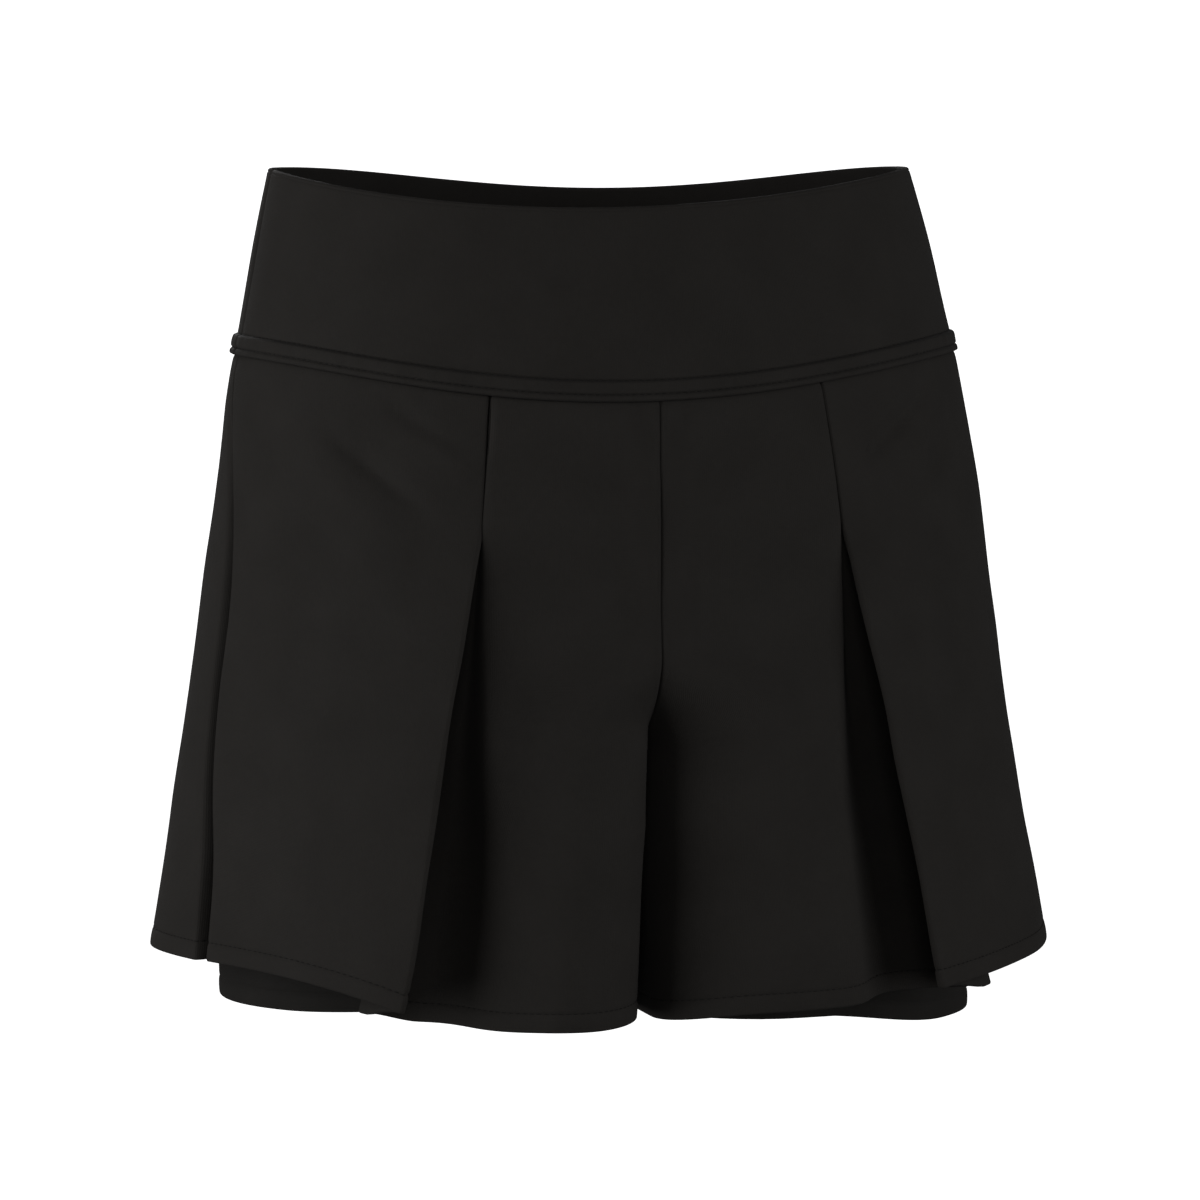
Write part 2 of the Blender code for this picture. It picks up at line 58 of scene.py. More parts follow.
COURSE = 0.0006
WAVE_PERIOD = math.pi / 10  # of Blender's wave texture, at a scale of 1
LOOP_WANDER = 2.2  # how unevenly the rows of loops run
LOOP_HEIGHT = 0.00016
COURSE_SHARE = 0.6
FUZZ_SCALE, FUZZ_SHARE = 900.0, 0.8
PATCH_SCALE = 38.0
SPECK_SCALE, SPECK_SHARE = 420.0, 0.45
FADED_FROM = 0.45
KNIT_SPECULAR = 0.05
SHEEN_ROUGHNESS = 0.45
SHEEN_TINT = (0.75, 0.75, 0.8, 1.0)


def knit(name, dark, light, roughness, sheen, relief):
    """A knitted cloth. Its pattern follows the piece's own map, which is in metres of cloth."""
    material = bpy.data.materials.new(name)
    material.use_nodes = True
    nodes, links = material.node_tree.nodes, material.node_tree.links
    shader = nodes["Principled BSDF"]
    shader.inputs["Roughness"].default_value = roughness
    shader.inputs["Specular IOR Level"].default_value = KNIT_SPECULAR
    shader.inputs["Sheen Weight"].default_value = sheen
    shader.inputs["Sheen Roughness"].default_value = SHEEN_ROUGHNESS
    shader.inputs["Sheen Tint"].default_value = SHEEN_TINT

    cloth_map = nodes.new("ShaderNodeUVMap")
    cloth_map.uv_map = "cloth"

    def waves(direction, period, phase):
        wave = nodes.new("ShaderNodeTexWave")
        wave.bands_direction = direction
        wave.inputs["Scale"].default_value = WAVE_PERIOD / period
        wave.inputs["Distortion"].default_value = LOOP_WANDER
        wave.inputs["Detail Scale"].default_value = 2.0
        wave.inputs["Phase Offset"].default_value = phase
        links.new(cloth_map.outputs["UV"], wave.inputs["Vector"])
        return wave.outputs["Fac"]

    def mottle(scale, detail):
        texture = nodes.new("ShaderNodeTexNoise")
        texture.inputs["Scale"].default_value = scale
        texture.inputs["Detail"].default_value = detail
        links.new(cloth_map.outputs["UV"], texture.inputs["Vector"])
        return texture.outputs["Fac"]

    def add(first, second, share):
        node = nodes.new("ShaderNodeMath")
        node.operation = "MULTIPLY_ADD"
        links.new(second, node.inputs[0])
        node.inputs[1].default_value = share
        links.new(first, node.inputs[2])
        return node.outputs["Value"]

    loops = add(waves("X", WALE, 0.0), waves("Y", COURSE, 1.2), COURSE_SHARE)
    height = add(loops, mottle(FUZZ_SCALE, 3.0), FUZZ_SHARE)
    bump = nodes.new("ShaderNodeBump")
    bump.inputs["Strength"].default_value = relief
    bump.inputs["Distance"].default_value = LOOP_HEIGHT
    links.new(height, bump.inputs["Height"])
    links.new(bump.outputs["Normal"], shader.inputs["Normal"])

    shade = nodes.new("ShaderNodeMix")
    shade.data_type = "RGBA"
    shade.inputs["A"].default_value = dark
    shade.inputs["B"].default_value = light
    patches = add(mottle(PATCH_SCALE, 4.0), mottle(SPECK_SCALE, 2.0), SPECK_SHARE)
    spread = nodes.new("ShaderNodeMapRange")
    spread.inputs["From Min"].default_value = FADED_FROM
    spread.inputs["From Max"].default_value = 1.0
    links.new(patches, spread.inputs["Value"])
    links.new(spread.outputs["Result"], shade.inputs["Factor"])
    links.new(shade.outputs["Result"], shader.inputs["Base Color"])
    return material


jersey = knit("black_jersey", JERSEY_BLACK, JERSEY_FADED, roughness=0.8, sheen=0.008, relief=0.3)

# ------------------------------------------------------------
# The form of the outer shorts. A section at any drop is a half ellipse to the front and another
# to the back, with its centre seams running back between the legs below the crotch.
# ------------------------------------------------------------
RIGHT, LEFT = -1, 1  # the wearer's sides, as signs of X
FRONT, BACK = -1, 1  # the faces, as signs of Y
WORD = {RIGHT: "right", LEFT: "left"}
DENSE = 72  # steps of a run before its columns are spaced along it
WALL = 1.4
EDGE_ROUND = 0.8  # the length over which a cut edge thins
EDGE_THIN = 0.1  # the share of the wall that is left at the edge itself
SEAM_GAP = -0.1  # below 0, so that the cloth laps at its seams and no light comes through

WaistLine = namedtuple("WaistLine", "drop dip turn sharpness")
SEAM = {FRONT: WaistLine(76.4, 15.5, -6.0, 3.0), BACK: WaistLine(76.4, 10.0, -12.0, 3.4)}
TOP_DROP = 82.0

Section = namedtuple("Section", "drop right left front back")
OUTER = (
    Section(0, 135.2, 134.9, 95.0, 94.0),
    Section(35, 142.4, 144.9, 101.0, 103.0),
    Section(76, 150.1, 154.2, 108.0, 113.0),
    Section(100, 154.0, 159.3, 110.5, 118.0),
    Section(140, 157.4, 166.8, 114.5, 124.0),
    Section(181, 162.6, 172.9, 119.0, 128.0),
    Section(225, 168.4, 178.6, 124.5, 130.0),
    Section(267, 172.8, 187.8, 130.5, 131.0),
    Section(307, 178.9, 195.9, 135.0, 132.0),
    Section(345, 185.0, 204.0, 138.5, 133.0),
)
Lean = namedtuple("Lean", "drop centre")
LEAN = (
    Lean(0, -1.8),
    Lean(76, -1.2),
    Lean(100, -1.4),
    Lean(140, -2.3),
    Lean(181, -3.3),
    Lean(215, -3.8),
    Lean(263, -5.8),
    Lean(340, -6.5),
)
Fork = namedtuple("Fork", "notch crotch corner_top corner_hem leg_gap gap_length spread")
OUTER_FORK = {
    (RIGHT, FRONT): Fork(190.0, 262.0, 28.0, 34.0, 4.5, 40.0, 0.0),
    (LEFT, FRONT): Fork(190.0, 262.0, 48.0, 36.0, 3.0, 40.0, 0.0),
    (RIGHT, BACK): Fork(205.0, 262.0, 26.0, 34.0, 4.5, 40.0, 0.0),
    (LEFT, BACK): Fork(205.0, 262.0, 28.0, 34.0, 4.5, 40.0, 0.0),
}
SPREAD_LENGTH = 6.0
LOWEST_HEM = 350.0
CROTCH_REACH = 4.0
CORNER_REACH, CORNER_LIMIT = 12.0, 0.6


def read(table, column, drop):
    """A column's value at this drop, on a smooth curve through the rows that never overshoots."""
    drops = [row.drop for row in table]
    values = [getattr(row, column) for row in table]
    last = len(table) - 1
    drop = min(max(drop, drops[0]), drops[last])
    i = max(k for k in range(last) if drops[k] <= drop)

    def secant(k):
        return (values[k + 1] - values[k]) / (drops[k + 1] - drops[k])

    def slope(k):
        if k in (0, last):
            return secant(min(k, last - 1))
        before, after = secant(k - 1), secant(k)
        return 2 * before * after / (before + after) if before * after > 0 else 0.0

    span = drops[i + 1] - drops[i]
    t = (drop - drops[i]) / span
    rise = 3 * t**2 - 2 * t**3
    bend = span * (slope(i) * (t**3 - 2 * t**2 + t) + slope(i + 1) * (t**3 - t**2))
    return values[i] * (1 - rise) + values[i + 1] * rise + bend


def ease(t):
    """0 up to 0, 1 from 1 on, and smooth between."""
    t = min(max(t, 0.0), 1.0)
    return t * t * (3 - 2 * t)


def mix(start, end, share):
    return start + (end - start) * share


def curve(start, start_handle, end_handle, end):
    """Dense points along a cubic curve, with both ends."""
    t = np.linspace(0, 1, DENSE + 1)[:, None]
    corners = [np.array(p, float) for p in (start, start_handle, end_handle, end)]
    weights = ((1 - t) ** 3, 3 * t * (1 - t) ** 2, 3 * t * t * (1 - t), t**3)
    return sum(w * p for w, p in zip(weights, corners))


def run_lengths(points):
    """The length walked at each point of a run, along the first axis."""
    steps = np.linalg.norm(np.diff(points, axis=0), axis=-1)
    return np.concatenate([np.zeros_like(steps[:1]), np.cumsum(steps, axis=0)])


def spaced(points, stops):
    """The points that lie at these lengths along a dense run."""
    points = np.array(points)
    lengths = run_lengths(points)
    return np.stack([np.interp(stops, lengths, points[:, axis]) for axis in (0, 1)], axis=1)


def even(points, columns):
    """The run in evenly spaced columns, without its last point."""
    total = run_lengths(np.array(points))[-1]
    return spaced(points, total * np.arange(columns) / columns)


def waist_drop(lines, facing, angle):
    """How far down a waist line lies, at this angle round from the middle of a face."""
    line = lines[facing]
    cosine = math.cos(math.radians(angle + facing * line.turn))
    return line.drop + line.dip * max(cosine, 0.0) ** line.sharpness


def section_face(table, facing, drop, side):
    """Gives the section's points at angles from the face's middle, at distances outside it."""
    half_width = read(table, WORD[side], drop)
    own = read(table, "front" if facing == FRONT else "back", drop)
    other = read(table, "back" if facing == FRONT else "front", drop)

    def point(angle, out):
        angle = np.radians(angle)
        depth = np.where(np.cos(angle) >= 0, own, other)
        across, forward = half_width * np.sin(angle), depth * np.cos(angle)
        slant_x, slant_y = across / half_width**2, forward / depth**2
        scale = out / np.hypot(slant_x, slant_y)
        return np.stack([across + scale * slant_x, forward + scale * slant_y], axis=-1)

    def mm_per_degree(angle):
        angle = math.radians(angle)
        depth = own if math.cos(angle) >= 0 else other
        return math.radians(math.hypot(half_width * math.cos(angle), depth * math.sin(angle)))

    return point, mm_per_degree


def fork_run(point, fork, drop, end_angle):
    """The dense run at mid wall from a centre seam, forward between the legs and round to an angle.

    Also the lengths at which its crotch and corner end.
    """
    mid = -WALL / 2
    full = point(0, mid)[1] - SEAM_GAP / 2
    reach = full * min(max((drop - fork.notch) / (fork.crotch - fork.notch), 0.0), 1.0) ** 2
    below = drop - fork.crotch
    radius = mix(fork.corner_top, fork.corner_hem, ease(below / (LOWEST_HEM - fork.crotch)))
    gap = SEAM_GAP / 2 + fork.leg_gap * (1 - math.exp(-max(below, 0.0) / fork.gap_length))
    turn = math.acos(max(1 - reach / radius, 0.0))
    straight = max(reach - radius, 0.0)
    seam = gap + WALL / 2 * math.sin(turn)
    walked = straight * np.arange(DENSE) / DENSE
    closed = (1 - EDGE_THIN) * WALL / 2 * math.sin(turn) * np.exp(-walked / EDGE_ROUND)
    across = seam - closed + fork.spread * (1 - np.exp(-walked / SPREAD_LENGTH))
    depth = reach - walked
    smooth = seam + fork.spread * (1 - math.exp(-straight / SPREAD_LENGTH))
    smooth += radius * math.sin(turn)
    angles = turn * (1 - np.arange(DENSE) / DENSE)
    across = np.concatenate([across, smooth - radius * np.sin(angles)])
    depth = np.concatenate([depth, radius * (1 - np.cos(angles))])
    half_width = point(90, 0)[0]
    points = point(np.degrees(np.arcsin(across / half_width)), mid)
    points[:, 1] = np.maximum(points[:, 1] - depth, SEAM_GAP / 2)
    first = math.degrees(math.asin(smooth / half_width))
    rest = point(np.linspace(first, end_angle, DENSE + 1), mid)
    points = np.concatenate([points, rest])
    crotch_end = straight + CROTCH_REACH
    total = run_lengths(points)[-1]
    corner_end = crotch_end + radius * turn + CORNER_REACH
    return points, (crotch_end, min(corner_end, mix(crotch_end, total, CORNER_LIMIT)))


def fork_columns(points, breaks, columns):
    """The run in columns: its crotch, its corner, and the rest, without its last point."""
    crotch_end, corner_end = breaks
    total = run_lengths(points)[-1]
    crotch, corner, rest = list(columns.values())[:3]
    stops = [crotch_end * np.arange(crotch) / crotch]
    stops.append(mix(crotch_end, corner_end, np.arange(corner) / corner))
    stops.append(mix(corner_end, total, np.arange(rest) / rest))
    return spaced(points, np.concatenate(stops))


# ------------------------------------------------------------
# The outer fronts: each one piece of jersey with a knife pleat, stitched shut for 45 mm below the
# waist and open to the hem, and a side edge that rolls over into the side seam's valley.
# ------------------------------------------------------------
FOLD_RADIUS = 1.0
Pleat = namedtuple("Pleat", "drop angle stand slide sink tuck lay")
PLEAT = {
    RIGHT: (
        Pleat(80, 26.4, 0.0, 1.7, 2.8, 18.0, 3.0),
        Pleat(139, 26.8, 0.0, 1.7, 2.8, 18.0, 3.0),
        Pleat(160, 27.3, 5.5, 4.2, 4.6, 18.5, 3.4),
        Pleat(186, 28.0, 11.0, 8.0, 7.0, 19.4, 5.0),
        Pleat(226, 29.5, 15.0, 17.0, 12.0, 20.7, 8.0),
        Pleat(267, 30.6, 16.0, 34.0, 17.0, 22.0, 10.0),
        Pleat(307, 31.7, 16.0, 45.0, 20.0, 23.4, 12.0),
        Pleat(345, 33.4, 15.4, 50.0, 21.0, 24.3, 13.0),
    ),
    LEFT: (
        Pleat(80, 26.9, 0.0, 1.7, 2.8, 22.0, 3.0),
        Pleat(139, 28.6, 0.0, 1.7, 2.8, 22.0, 3.0),
        Pleat(160, 28.9, 5.5, 4.2, 4.6, 23.5, 3.2),
        Pleat(186, 29.4, 11.0, 8.0, 7.0, 27.0, 4.0),
        Pleat(226, 30.9, 15.0, 19.0, 9.5, 34.0, 5.0),
        Pleat(267, 32.3, 16.0, 29.0, 12.0, 41.0, 5.5),
        Pleat(307, 33.4, 16.0, 36.0, 13.0, 48.0, 6.0),
        Pleat(345, 34.4, 15.4, 40.0, 13.0, 53.0, 6.0),
    ),
}
STITCHED_TO = 139.0  # the drop from which the pleat is free
OPENS_OVER = 120.0
SUNK_EDGE = 0.5
UNDER_RISE = 8.0
SIDE_SLOPE = 0.55
SideFold = namedtuple("SideFold", "drop ridge valley")
SIDE_FOLD = {
    RIGHT: (
        SideFold(84, 88.0, 0.0),
        SideFold(100, 85.4, 0.6),
        SideFold(143, 79.0, 6.4),
        SideFold(172, 76.3, 9.0),
        SideFold(226, 74.4, 13.0),
        SideFold(283, 70.4, 17.0),
        SideFold(325, 68.3, 15.0),
    ),
    LEFT: (
        SideFold(84, 90.0, 0.0),
        SideFold(100, 90.2, 0.5),
        SideFold(143, 90.5, 3.5),
        SideFold(226, 92.0, 8.0),
        SideFold(283, 93.0, 8.0),
        SideFold(335, 94.0, 3.0),
    ),
}
RIDGE_WIDTH = 4.0
VALLEY_WIDTH = 7.0
Hem = namedtuple("Hem", "inseam centre sunk tuck fold side back")
OUTER_HEM = {
    RIGHT: Hem(339.3, 340.2, 339.8, 336.0, 331.0, 319.4, 329.5),
    LEFT: Hem(340.4, 335.9, 334.0, 336.3, 329.7, 324.6, 330.5),
}
HEM_CURVE = 2.6
FRONT_COLUMNS = {
    "crotch": 10, "corner": 14, "centre": 16, "sink": 18, "under": 8,
    "tuck": 10, "return": 6, "fold": 14, "side": 44, "ridge": 14,
}


def arc(centre, first, last, steps):
    """Places round a fold, from one angle to another."""
    angles = np.radians(mix(first, last, np.arange(steps) / steps))
    return np.stack([np.cos(angles), np.sin(angles)], axis=1) * FOLD_RADIUS + np.array(centre)


def pleat_columns(point, mm_per_degree, drop, side):
    """The columns from the pleat's start to the side's ridge, and the angle where it starts."""
    angle, stand, slide, sink, tuck, lay = (
        read(PLEAT[side], column, drop) for column in Pleat._fields[1:]
    )
    scale = mm_per_degree(angle)
    radius = FOLD_RADIUS
    inner, outer = (tuck, -lay), (radius, stand - radius)

    sunk = (-SUNK_EDGE, -sink)
    half = (slide - SUNK_EDGE) / 2
    sinking = curve((-slide, 0.0), (-slide + half, 0.0), (sunk[0] - half, -sink), sunk)
    columns = [even(sinking, FRONT_COLUMNS["sink"])]

    rise = UNDER_RISE * ease((drop - STITCHED_TO) / OPENS_OVER)
    entry = math.radians(rise - 90)
    under_end = (inner[0] + radius * math.cos(entry), inner[1] + radius * math.sin(entry))
    third = (under_end[0] - sunk[0]) / 3
    climb = third * math.tan(math.radians(rise))
    leaves, arrives = (sunk[0] + third, sunk[1]), (under_end[0] - third, under_end[1] - climb)
    under = curve(sunk, leaves, arrives, under_end)
    columns.append(even(under, FRONT_COLUMNS["under"]))

    apart = math.dist(inner, outer)
    toward = math.degrees(math.atan2(outer[1] - inner[1], outer[0] - inner[0]))
    leave = toward - math.degrees(math.acos(2 * radius / apart))
    columns.append(arc(inner, rise - 90, leave, FRONT_COLUMNS["tuck"]))

    off = radius * np.array([math.cos(math.radians(leave)), math.sin(math.radians(leave))])
    columns.append(even([np.array(inner) + off, np.array(outer) - off], FRONT_COLUMNS["return"]))

    slope = -SIDE_SLOPE * stand
    columns.append(arc(outer, leave - 180, slope - 270, FRONT_COLUMNS["fold"]))
    folded = np.concatenate(columns)
    folded = point(angle + folded[:, 0] / scale, folded[:, 1] - WALL / 2)

    top = math.radians(slope + 90)
    start = (outer[0] + radius * math.cos(top), outer[1] + radius * math.sin(top))
    start_angle = angle + start[0] / scale
    ridge = read(SIDE_FOLD[side], "ridge", drop)
    handle = (ridge - start_angle) / 3
    fall = handle * scale * math.tan(math.radians(slope))
    leaves, arrives = (start_angle + handle, start[1] + fall), (ridge - handle, 0.0)
    panel = curve((start_angle, start[1]), leaves, arrives, (ridge, 0.0))
    flat = even(point(panel[:, 0], panel[:, 1] - WALL / 2), FRONT_COLUMNS["side"])
    return np.concatenate([folded, flat]), angle - slide / scale


def side_section(side, drop):
    """The whole side of the outer section, with angles counted from the centre front."""
    return section_face(OUTER, FRONT, drop, side)


def seam_angle(side, drop):
    ridge = read(SIDE_FOLD[side], "ridge", drop)
    return ridge + RIDGE_WIDTH / side_section(side, drop)[1](ridge)


def valley_end(side, drop):
    """Where the back panel is smooth again."""
    seam = seam_angle(side, drop)
    return seam + (SEAM_GAP / 2 + VALLEY_WIDTH) / side_section(side, drop)[1](seam)


def valley_run(side, facing, drop):
    """The dense run between a panel's smooth part and the side seam in the bottom of its valley."""
    point, mm_per_degree = side_section(side, drop)
    seam, valley = seam_angle(side, drop), read(SIDE_FOLD[side], "valley", drop)
    half_gap = SEAM_GAP / 2 / mm_per_degree(seam)
    if facing == FRONT:
        start, end = read(SIDE_FOLD[side], "ridge", drop), seam - half_gap
    else:
        start, end = valley_end(side, drop), seam + half_gap
    half = (end - start) / 2
    run = curve((start, 0.0), (start + half, 0.0), (end - half, -valley), (end, -valley))
    return point(run[:, 0], run[:, 1] - WALL / 2) * np.array([1, -facing])


def front_path(side, drop):
    """One outer front's section: its columns' points at mid wall."""
    point, mm_per_degree = section_face(OUTER, FRONT, drop, side)
    pleat, start = pleat_columns(point, mm_per_degree, drop, side)
    run, breaks = fork_run(point, OUTER_FORK[side, FRONT], drop, start)
    valley = valley_run(side, FRONT, drop)
    columns = [fork_columns(run, breaks, FRONT_COLUMNS), pleat]
    columns += [even(valley, FRONT_COLUMNS["ridge"]), valley[-1:]]
    return np.concatenate(columns)


def stretches(columns, values):
    """A value for each column: each stretch of columns goes from its first value to its last."""
    found = []
    for name, count in columns.items():
        start, end = values[name]
        found += [mix(start, end, ease(k / count)) for k in range(count)]
    return np.array(found + [end])


def front_hem(side):
    """The hem's drop at each column. The side panel's hem rises in a curve to the side seam."""
    hem = OUTER_HEM[side]
    drops = stretches(
        FRONT_COLUMNS,
        {
            "crotch": (hem.inseam, hem.inseam),
            "corner": (hem.inseam, hem.centre),
            "centre": (hem.centre, hem.centre),
            "sink": (hem.centre, hem.sunk),
            "under": (hem.sunk, hem.tuck),
            "tuck": (hem.tuck, hem.tuck),
            "return": (hem.tuck, hem.fold),
            "fold": (hem.fold, hem.fold),
            "side": (hem.fold, hem.side),
            "ridge": (hem.side, hem.side),
        },
    )
    side_columns = FRONT_COLUMNS["side"]
    start = len(drops) - 1 - side_columns - FRONT_COLUMNS["ridge"]
    share = np.arange(side_columns) / side_columns
    drops[start : start + side_columns] = mix(hem.side, hem.fold, (1 - share) ** HEM_CURVE)
    return drops


# How a piece is made: rows close together where its top and its turned hem need them
TOP_ROWS = (0.0, 0.4, 1.0, 1.8, 3.0, 5.0)
HEM_ROWS = (
    14.0, 11.6, 10.0, 9.0, 8.4, 8.0, 7.6, 7.2, 6.8, 6.2,
    5.0, 3.6, 2.4, 1.5, 0.9, 0.5, 0.22, 0.05, 0.0,
)
MIDDLE_ROWS = 92
LEVEL = 2.0  # drops between the sections that the rows are read from
SEARCH_STEPS = 22
HEM_DEPTH = 7.6
HEM_STITCH_DIP, HEM_STITCH_WIDTH = 0.3, 0.7
HEM_PUFF = 0.22
HEM_TURNED = 0.8  # the hem's second layer, inside
SEAM_GROOVE, SEAM_GROOVE_WIDTH = 0.55, 0.75
WAIST_GROOVE, WAIST_GROOVE_LENGTH = 0.9, 1.2
WANDER_SIZE, WANDER_AT_WAIST, WANDER_LENGTH = 42.0, 0.35, 30.0
RIPPLE_SIZE, RIPPLE, RIPPLE_LENGTH = 9.0, 0.3, 14.0
LENGTHWAYS = np.array([1, 1, 0.35])  # ripples are longer down the cloth than across it
Fold = namedtuple("Fold", "angle drop to_angle to_drop width depth")
MM_PER_DEGREE = 2.6  # what a degree measures on the cloth, for folds
FOLD_TAIL = 0.2


def angle_at(point, place):
    """The angle at which a section passes nearest a place."""
    low, high = -5.0, 185.0
    for _ in range(SEARCH_STEPS):
        middle = (low + high) / 2
        here = point(middle, 0)
        if np.dot(point(middle + 0.1, 0) - here, place - here) > 0:
            low = middle
        else:
            high = middle
    return low


def seam_tops(side, facing, path_at):
    """The drop at which each column of a piece leaves the waist seam."""
    shape, _ = section_face(OUTER, facing, TOP_DROP, side)
    tops = []
    for place in path_at(side, TOP_DROP):
        angle = angle_at(shape, place)
        if angle <= 90:
            tops.append(waist_drop(SEAM, facing, side * angle) + SEAM_GAP)
        else:
            tops.append(waist_drop(SEAM, -facing, side * (180 - angle)) + SEAM_GAP)
    return np.array(tops)


def hang(side, facing, path_at, tops, hems):
    """A piece's mid-wall surface: a grid of points, with each point's drop and angle."""
    middle = np.linspace(0, 1, MIDDLE_ROWS)[1:-1]
    rows = [tops + d for d in TOP_ROWS]
    rows += [mix(tops + TOP_ROWS[-1], hems - HEM_ROWS[0], share) for share in middle]
    rows += [hems - d for d in HEM_ROWS]
    drops = np.array(rows)
    levels = np.arange(tops.min() - LEVEL, hems.max() + 2 * LEVEL, LEVEL)
    paths = np.array([path_at(side, level) for level in levels])
    leans = np.array([read(LEAN, "centre", level) for level in levels])
    across, forward = np.empty_like(drops), np.empty_like(drops)
    for column in range(drops.shape[1]):
        across[:, column] = np.interp(drops[:, column], levels, paths[:, column, 0])
        forward[:, column] = np.interp(drops[:, column], levels, paths[:, column, 1])
    widths = [[read(OUTER, key, level) for level in levels] for key in (WORD[side], "front")]
    half_width, depth = (np.interp(drops, levels, width) for width in widths)
    angles = np.degrees(np.arctan2(across / half_width, forward / depth))
    x = np.interp(drops, levels, leans) + side * across
    points = np.stack([x, facing * forward, -drops], axis=-1)
    return points, drops, angles


def normals_of(points, outward):
    """Unit normals of a grid of points. `outward` is the sign that turns them to the outside."""
    down = np.gradient(points, axis=0)
    along = np.gradient(points, axis=1)
    normal = np.cross(along, down) * outward
    return normal / np.maximum(np.linalg.norm(normal, axis=-1, keepdims=True), 1e-9)


def crease(drops, angles, folds):
    """How far soft folds push the cloth out, or in where their depth is below 0."""
    push = np.zeros_like(drops)
    for fold in folds:
        start = np.array([fold.angle * MM_PER_DEGREE, fold.drop])
        end = np.array([fold.to_angle * MM_PER_DEGREE, fold.to_drop])
        place = np.stack([angles * MM_PER_DEGREE, drops], axis=-1) - start
        along = end - start
        length = np.linalg.norm(along)
        along = along / length
        share = np.clip((place @ along) / length, -FOLD_TAIL, 1 + FOLD_TAIL)
        aside = place @ np.array([-along[1], along[0]])
        beyond = place @ along - np.clip(place @ along, 0, length)
        fade = np.sin((share + FOLD_TAIL) / (1 + 2 * FOLD_TAIL) * math.pi) ** 2
        away = (aside / fold.width) ** 2 + (beyond / fold.width) ** 2
        push += fold.depth * fade * np.exp(-away)
    return push


def unevenness(points, size, seed):
    """A slow wander of the cloth, between about -1 and 1."""
    flat = points.reshape(-1, 3) / size + seed
    return np.array([noise.noise(Vector(p)) for p in flat]).reshape(points.shape[:2])


def sew_shell(name, outside, inside, material):
    """A closed shell of cloth between two grids of points, with a map in metres of cloth."""
    rows, columns = outside.shape[0] - 1, outside.shape[1] - 1
    mesh = bmesh.new()
    bmesh.ops.create_grid(mesh, x_segments=columns, y_segments=rows, size=0.5)
    grown = bmesh.ops.extrude_face_region(mesh, geom=mesh.faces[:], use_keep_orig=True)
    for item in grown["geom"]:
        if isinstance(item, bmesh.types.BMVert):
            item.co.z = 1
    bmesh.ops.recalc_face_normals(mesh, faces=mesh.faces[:])
    flat = np.array([v.co for v in mesh.verts])
    column = np.rint((flat[:, 0] + 0.5) * columns).astype(int)
    row = np.rint((flat[:, 1] + 0.5) * rows).astype(int)
    places = np.where(flat[:, 2:] > 0.5, inside[row, column], outside[row, column]) * MM
    for vertex, place in zip(mesh.verts, places):
        vertex.co = place
    if mesh.calc_volume(signed=True) < 0:
        bmesh.ops.reverse_faces(mesh, faces=mesh.faces[:])
    data = bpy.data.meshes.new(name)
    mesh.to_mesh(data)
    mesh.free()
    data.shade_smooth()
    along = run_lengths(np.swapaxes(outside, 0, 1)).mean(axis=1)
    down = run_lengths(outside).mean(axis=1)
    corner = np.empty(len(data.loops), np.int32)
    data.loops.foreach_get("vertex_index", corner)
    cloth_map = np.stack([along[column], -down[row]], axis=1)[corner] * MM
    data.uv_layers.new(name="cloth").data.foreach_set("uv", cloth_map.astype(np.float32).ravel())
    piece = bpy.data.objects.new(name, data)
    bpy.context.scene.collection.objects.link(piece)
    data.materials.append(material)
    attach(piece, "root")
    return piece


def hemmed_cloth(name, side, facing, path_at, tops, hems, folds, seed, material, sleek=1.0):
    """Hangs a piece, creases it and gives it its wall, its turned hem and its seams' grooves.

    Returns the piece, and its outer face and that face's normals for the stitching.
    """
    points, drops, angles = hang(side, facing, path_at, tops, hems)
    outward = side * facing
    normal = normals_of(points, outward)
    push = crease(drops, angles * side, folds)
    freed = mix(WANDER_AT_WAIST, 1, np.clip((drops - tops) / WANDER_LENGTH, 0, 1))
    push = push + sleek * freed * unevenness(points, WANDER_SIZE, seed)
    gathered = RIPPLE * np.exp(-(drops - tops) / RIPPLE_LENGTH)
    push = push + sleek * gathered * unevenness(points * LENGTHWAYS, RIPPLE_SIZE, seed + 5)
    points = points + normal * push[..., None]
    normal = normals_of(points, outward)

    above_hem = hems - drops
    along = np.swapaxes(run_lengths(np.swapaxes(points, 0, 1)), 0, 1)
    from_seam = np.minimum(along, along[:, -1:] - along)
    stitched = HEM_STITCH_DIP * np.exp(-(((above_hem - HEM_DEPTH) / HEM_STITCH_WIDTH) ** 2))
    puffed = HEM_PUFF * np.clip(np.sin(np.clip(above_hem / HEM_DEPTH, 0, 1) * math.pi), 0, 1)
    groove = SEAM_GROOVE * np.exp(-((from_seam / SEAM_GROOVE_WIDTH) ** 2))
    groove = groove + WAIST_GROOVE * np.exp(-(drops - tops) / WAIST_GROOVE_LENGTH)
    turned = HEM_TURNED * np.clip((HEM_DEPTH + 0.4 - above_hem) / 0.5, 0, 1)
    edge = np.clip(np.minimum(above_hem, from_seam) / EDGE_ROUND, 0, 1)
    rounded = mix(EDGE_THIN, 1, np.sqrt(1 - (1 - edge) ** 2))
    out = (WALL / 2) * rounded + puffed - stitched - groove
    inward = (WALL / 2 + turned) * rounded
    outside = points + normal * out[..., None]
    inside = points - normal * inward[..., None]
    return sew_shell(name, outside, inside, material), outside, normal


Cut = namedtuple("Cut", "width length area")


def measured_cut(face):
    """A piece's flat width, length and area in metres, measured along its own curved wall."""
    width = run_lengths(np.swapaxes(face, 0, 1))[-1].max()
    length = run_lengths(face)[-1].max()
    a, b = face[1:, 1:] - face[:-1, :-1], face[1:, :-1] - face[:-1, 1:]
    area = np.linalg.norm(np.cross(a, b), axis=-1).sum() / 2
    return Cut(width * MM, length * MM, area * MM**2)


